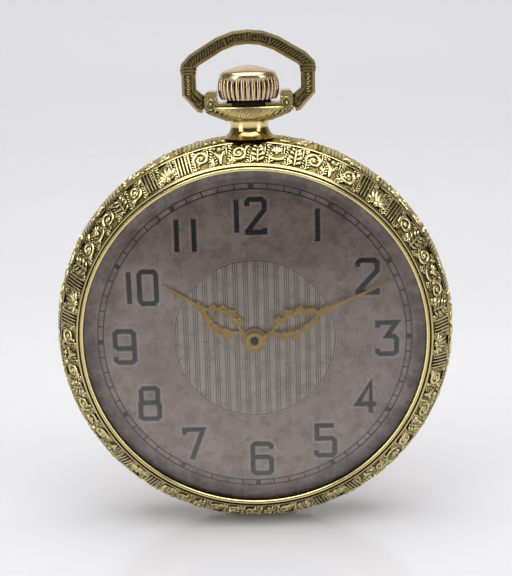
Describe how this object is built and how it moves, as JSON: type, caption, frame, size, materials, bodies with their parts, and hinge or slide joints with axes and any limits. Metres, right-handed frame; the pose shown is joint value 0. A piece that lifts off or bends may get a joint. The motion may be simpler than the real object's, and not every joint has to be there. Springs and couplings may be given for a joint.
{
  "type": "pocket watch",
  "caption": "Open face pocket watch standing with its crown up: ring-shaped case with engraved bezel, domed crystal, swinging bow, fluted crown, stained dial and filigree hands over a movement.",
  "frame": {"origin": "middle of the flat of the case back", "axes": "dial faces -Y, crown and bow towards +Z, X completes the right-handed frame with three o'clock at +X"},
  "size_m": [0.0445, 0.0098, 0.0555],
  "materials": {
    "gold_case": "worn gold plating, engraved",
    "gold_dark": "worn gold plating with dark patina",
    "glass": "clear polished glass",
    "dial_face": "silvered dial with stains",
    "steel": "polished steel",
    "blued": "blued steel",
    "nickel": "damascened nickel",
    "gilt": "gilt brass",
    "ruby": "polished ruby"
  },
  "bodies": {
    "watch": {"case_middle": "gold_case", "pendant": "gold_dark", "stem_sleeve": "steel", "dial": "dial_face", "main_plate": "nickel", "barrel_bridge": "nickel", "train_bridge": "nickel", "balance_cock": "nickel", "pallet_bridge": "nickel", "crown_wheel_core": "steel", "click_screw": "blued", "click_spring": "blued", "hairspring": "blued", "hairspring_stud": "steel", "regulator": "steel", "jewels": "ruby", "cap_jewel": "ruby", "bridge_screws": "blued", "case_screws": "blued", "dial_screws": "blued"},
    "stem": {"winding_stem": "steel"},
    "crown_body": {"crown": "gold_dark"},
    "minute_train": {"minute_hand": "gilt", "cannon_pinion": "steel", "center_wheel": "gilt"},
    "hour_train": {"hour_hand": "gilt", "hour_wheel": "gilt"},
    "bow_body": {"bow": "gold_dark"},
    "back_body": {"back_cover": "gold_case"},
    "bezel_body": {"bezel": "gold_case", "crystal": "glass"},
    "minute_wheel_body": {"minute_wheel": "gilt"},
    "setting_wheel_body": {"setting_wheel": "steel"},
    "second_setting_body": {"second_setting_wheel": "steel"},
    "barrel_body": {"barrel": "gilt", "barrel_cover": "gilt", "mainspring": "blued"},
    "third_body": {"third_wheel": "gilt"},
    "fourth_body": {"fourth_wheel": "gilt"},
    "escape_body": {"escape_wheel": "steel"},
    "winding_pinion_body": {"winding_pinion": "steel"},
    "crown_wheel_body": {"crown_wheel": "steel"},
    "ratchet_body": {"barrel_arbor": "steel", "ratchet_wheel": "steel", "ratchet_screw": "blued"},
    "clutch_body": {"clutch": "steel"},
    "lever_body": {"setting_lever": "steel"},
    "yoke_body": {"yoke": "steel"},
    "click_body": {"click": "steel"},
    "pallet_body": {"pallet_fork": "steel", "pallet_stones": "ruby"},
    "balance_body": {"balance_wheel": "gilt", "timing_screws": "gilt", "balance_staff": "steel", "roller": "steel"}
  },
  "joints": [
    {"name": "crown_pull", "type": "slide", "parent": "watch", "child": "stem", "axis": [0, 0, 1], "range_m": [0, 0.0008]},
    {"name": "crown_turn", "type": "hinge", "parent": "stem", "child": "crown_body", "pos_m": [0, -0.0038, 0.0275], "axis": [0, 0, 1], "continuous": true},
    {"name": "minute_turn", "type": "hinge", "parent": "watch", "child": "minute_train", "pos_m": [0, -0.007, 0], "axis": [0, 1, 0], "continuous": true},
    {"name": "hour_turn", "type": "hinge", "parent": "watch", "child": "hour_train", "pos_m": [0, -0.007, 0], "axis": [0, 1, 0], "continuous": true},
    {"name": "bow_swing", "type": "hinge", "parent": "watch", "child": "bow_body", "pos_m": [0, -0.0038, 0.0255], "axis": [1, 0, 0], "range_deg": [-100, 100]},
    {"name": "back_snap", "type": "slide", "parent": "watch", "child": "back_body", "axis": [0, 1, 0], "range_m": [0, 0.01]},
    {"name": "bezel_snap", "type": "slide", "parent": "watch", "child": "bezel_body", "axis": [0, -1, 0], "range_m": [0, 0.01]},
    {"name": "minute_wheel_turn", "type": "hinge", "parent": "watch", "child": "minute_wheel_body", "pos_m": [0.00107, -0.007, 0.00293], "axis": [0, 1, 0], "continuous": true},
    {"name": "setting_wheel_turn", "type": "hinge", "parent": "watch", "child": "setting_wheel_body", "pos_m": [0.00048, -0.007, 0.00731], "axis": [0, 1, 0], "continuous": true},
    {"name": "second_setting_turn", "type": "hinge", "parent": "watch", "child": "second_setting_body", "pos_m": [0, -0.007, 0.01092], "axis": [0, 1, 0], "continuous": true},
    {"name": "barrel_turn", "type": "hinge", "parent": "watch", "child": "barrel_body", "pos_m": [0.00579, -0.004, 0.00689], "axis": [0, 1, 0], "continuous": true},
    {"name": "third_turn", "type": "hinge", "parent": "watch", "child": "third_body", "pos_m": [-0.00652, -0.004, -0.00175], "axis": [0, 1, 0], "continuous": true},
    {"name": "fourth_turn", "type": "hinge", "parent": "watch", "child": "fourth_body", "pos_m": [-0.00604, -0.004, -0.00725], "axis": [0, 1, 0], "continuous": true},
    {"name": "escape_turn", "type": "hinge", "parent": "watch", "child": "escape_body", "pos_m": [-0.0025, -0.004, -0.01022], "axis": [0, 1, 0], "continuous": true},
    {"name": "winding_pinion_turn", "type": "hinge", "parent": "watch", "child": "winding_pinion_body", "pos_m": [0, -0.0038, 0.0153], "axis": [0, 0, 1], "continuous": true},
    {"name": "crown_wheel_turn", "type": "hinge", "parent": "watch", "child": "crown_wheel_body", "pos_m": [0, -0.002, 0.01242], "axis": [0, 1, 0], "continuous": true},
    {"name": "ratchet_turn", "type": "hinge", "parent": "watch", "child": "ratchet_body", "pos_m": [0.00579, -0.002, 0.00689], "axis": [0, 1, 0], "continuous": true},
    {"name": "clutch_slide", "type": "slide", "parent": "watch", "child": "clutch_body", "axis": [0, 0, 1], "range_m": [-0.00025, 0]},
    {"name": "lever_turn", "type": "hinge", "parent": "watch", "child": "lever_body", "pos_m": [0.0049, -0.006, 0.0162], "axis": [0, 1, 0], "range_deg": [0, 10]},
    {"name": "yoke_turn", "type": "hinge", "parent": "watch", "child": "yoke_body", "pos_m": [-0.0043, -0.006, 0.0126], "axis": [0, 1, 0], "range_deg": [0, 4.3]},
    {"name": "click_turn", "type": "hinge", "parent": "watch", "child": "click_body", "pos_m": [0.01267, -0.002, 0.00518], "axis": [0, 1, 0], "range_deg": [0, 6], "stiffness_Nm_per_rad": 0.0001},
    {"name": "pallet_rock", "type": "hinge", "parent": "watch", "child": "pallet_body", "pos_m": [0.00075, -0.0043, -0.01011], "axis": [0, 1, 0], "range_deg": [-4, 4]},
    {"name": "balance_swing", "type": "hinge", "parent": "watch", "child": "balance_body", "pos_m": [0.0072, -0.0036, -0.0099], "axis": [0, 1, 0], "range_deg": [-270, 270], "stiffness_Nm_per_rad": 0.0000005}
  ],
  "couplings": [
    {"joint": "hour_turn", "follows": "minute_turn", "ratio": 0.083333},
    {"joint": "minute_wheel_turn", "follows": "minute_turn", "ratio": -0.33333},
    {"joint": "setting_wheel_turn", "follows": "minute_turn", "ratio": 0.375},
    {"joint": "second_setting_turn", "follows": "minute_turn", "ratio": -0.5},
    {"joint": "barrel_turn", "follows": "minute_turn", "ratio": -0.125},
    {"joint": "third_turn", "follows": "minute_turn", "ratio": -8},
    {"joint": "fourth_turn", "follows": "minute_turn", "ratio": 60},
    {"joint": "escape_turn", "follows": "minute_turn", "ratio": -600},
    {"joint": "winding_pinion_turn", "follows": "crown_turn", "ratio": 1},
    {"joint": "crown_wheel_turn", "follows": "crown_turn", "ratio": -0.47059},
    {"joint": "ratchet_turn", "follows": "crown_turn", "ratio": 0.34783},
    {"joint": "clutch_slide", "follows": "crown_pull", "ratio": -0.3125},
    {"joint": "lever_turn", "follows": "crown_pull", "rad_per_m": 212.5},
    {"joint": "yoke_turn", "follows": "crown_pull", "rad_per_m": 88}
  ]
}
